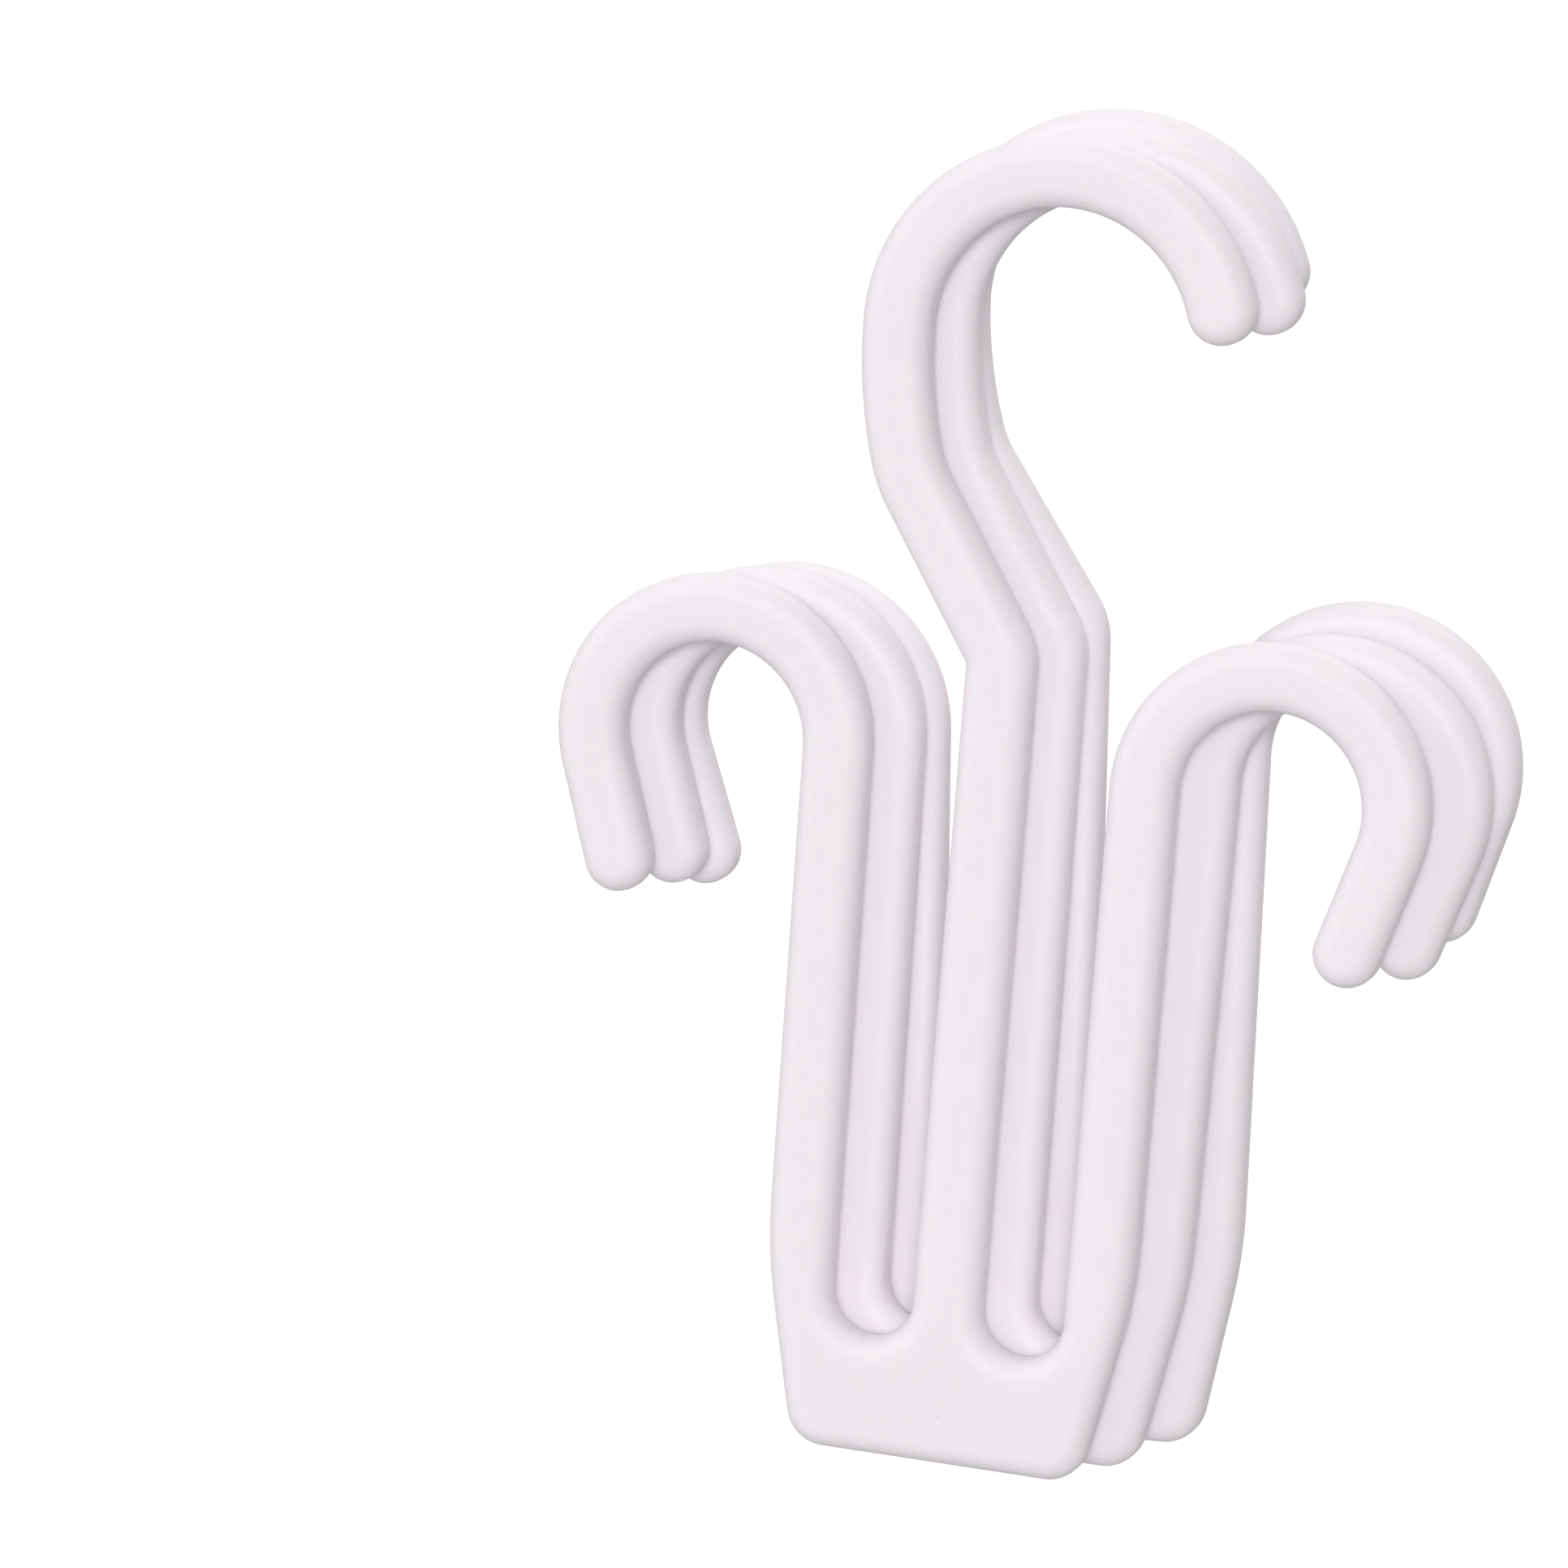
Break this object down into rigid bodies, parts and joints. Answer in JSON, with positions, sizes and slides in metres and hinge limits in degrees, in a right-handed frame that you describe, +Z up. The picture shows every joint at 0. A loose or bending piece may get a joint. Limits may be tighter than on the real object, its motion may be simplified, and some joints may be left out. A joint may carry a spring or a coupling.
{
  "type": "shoe hanger",
  "caption": "Stack of identical moulded plastic shoe hangers, each with a rail hook and two outward shoe hooks rising from a slotted palm.",
  "frame": {"origin": "centre of the front hanger's rail hook, at mid depth of the stack", "axes": "+X to the right seen from the front, +Y from the front hanger to the rear hanger, +Z up towards the rail hooks"},
  "size_m": [0.1486, 0.0262, 0.2112],
  "materials": {
    "white_plastic": "satin, fine even texture, faint lavender tint"
  },
  "bodies": {
    "front": {"front_hanger": "white_plastic"},
    "middle": {"middle_hanger": "white_plastic"},
    "rear": {"rear_hanger": "white_plastic"}
  },
  "joints": [
    {"name": "middle_swing", "type": "hinge", "parent": "front", "child": "middle", "pos_m": [0.00511, 0, 0.00101], "axis": [0, -1, 0], "range_deg": [-45, 45]},
    {"name": "rear_swing", "type": "hinge", "parent": "front", "child": "rear", "pos_m": [0.00379, 0.0088, 0.00303], "axis": [0, -1, 0], "range_deg": [-45, 45]}
  ]
}
